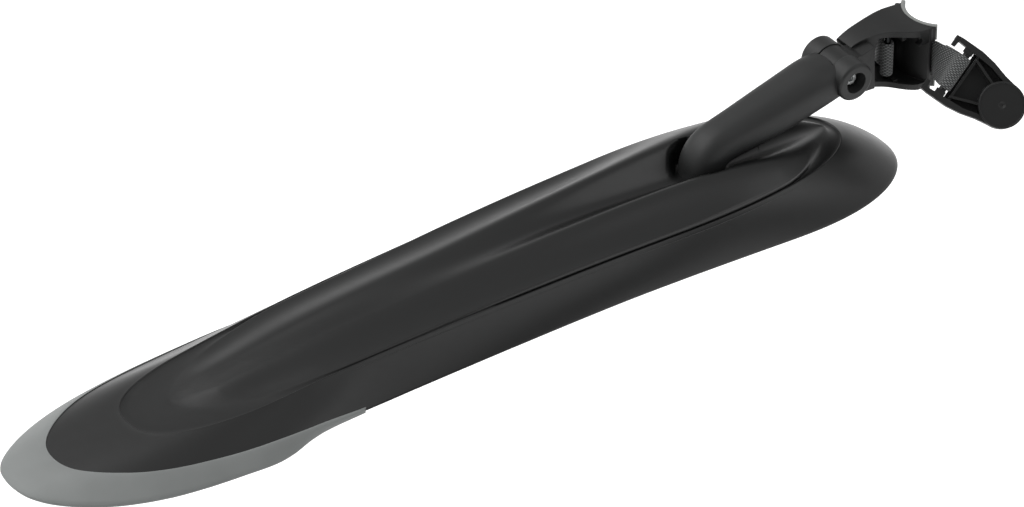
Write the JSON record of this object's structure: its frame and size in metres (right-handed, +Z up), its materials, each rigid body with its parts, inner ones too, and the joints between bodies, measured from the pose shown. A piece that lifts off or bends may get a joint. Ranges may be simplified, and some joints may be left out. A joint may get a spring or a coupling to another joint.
{
  "type": "clip-on rear bicycle mudguard",
  "caption": "Long shaped rear mudguard blade with a soft tail edge on a tilting stay arm, held to a seat post by a padded bracket with a webbing strap and a clamp lever.",
  "frame": {"origin": "on the seat post axis at the middle of the clamp's height", "axes": "+Z up along the seat post, +X forward away from the blade, +Y to the left of the rider"},
  "size_m": [0.5626, 0.1167, 0.0713],
  "materials": {
    "guard_plastic": "satin black moulded plastic",
    "soft_edge": "soft grey overmoulded edge",
    "arm_plastic": "satin dark grey moulded plastic",
    "pad_rubber": "matte grey rubber",
    "webbing": "woven dark grey webbing",
    "fastener_steel": "bright zinc plated steel"
  },
  "bodies": {
    "bracket": {"seat_post_bracket": "arm_plastic", "saddle_pads": "pad_rubber", "strap": "webbing", "strap_anchor_pin": "fastener_steel"},
    "guard": {"blade": "guard_plastic", "tail_edge": "soft_edge", "stay_arm": "arm_plastic", "foot_screws": "fastener_steel", "hinge_bolt": "fastener_steel", "hinge_nut": "fastener_steel"},
    "lever": {"clamp_lever": "arm_plastic"}
  },
  "joints": [
    {"name": "tilt_hinge", "type": "hinge", "parent": "bracket", "child": "guard", "pos_m": [-0.065, 0, 0.0055], "axis": [0, 1, 0], "range_deg": [-8, 40]},
    {"name": "lever_hinge", "type": "hinge", "parent": "bracket", "child": "lever", "pos_m": [-0.01636, -0.03352, 0.0026], "axis": [0.7473, 0.0636, 0.6614], "range_deg": [-30, 35]}
  ]
}
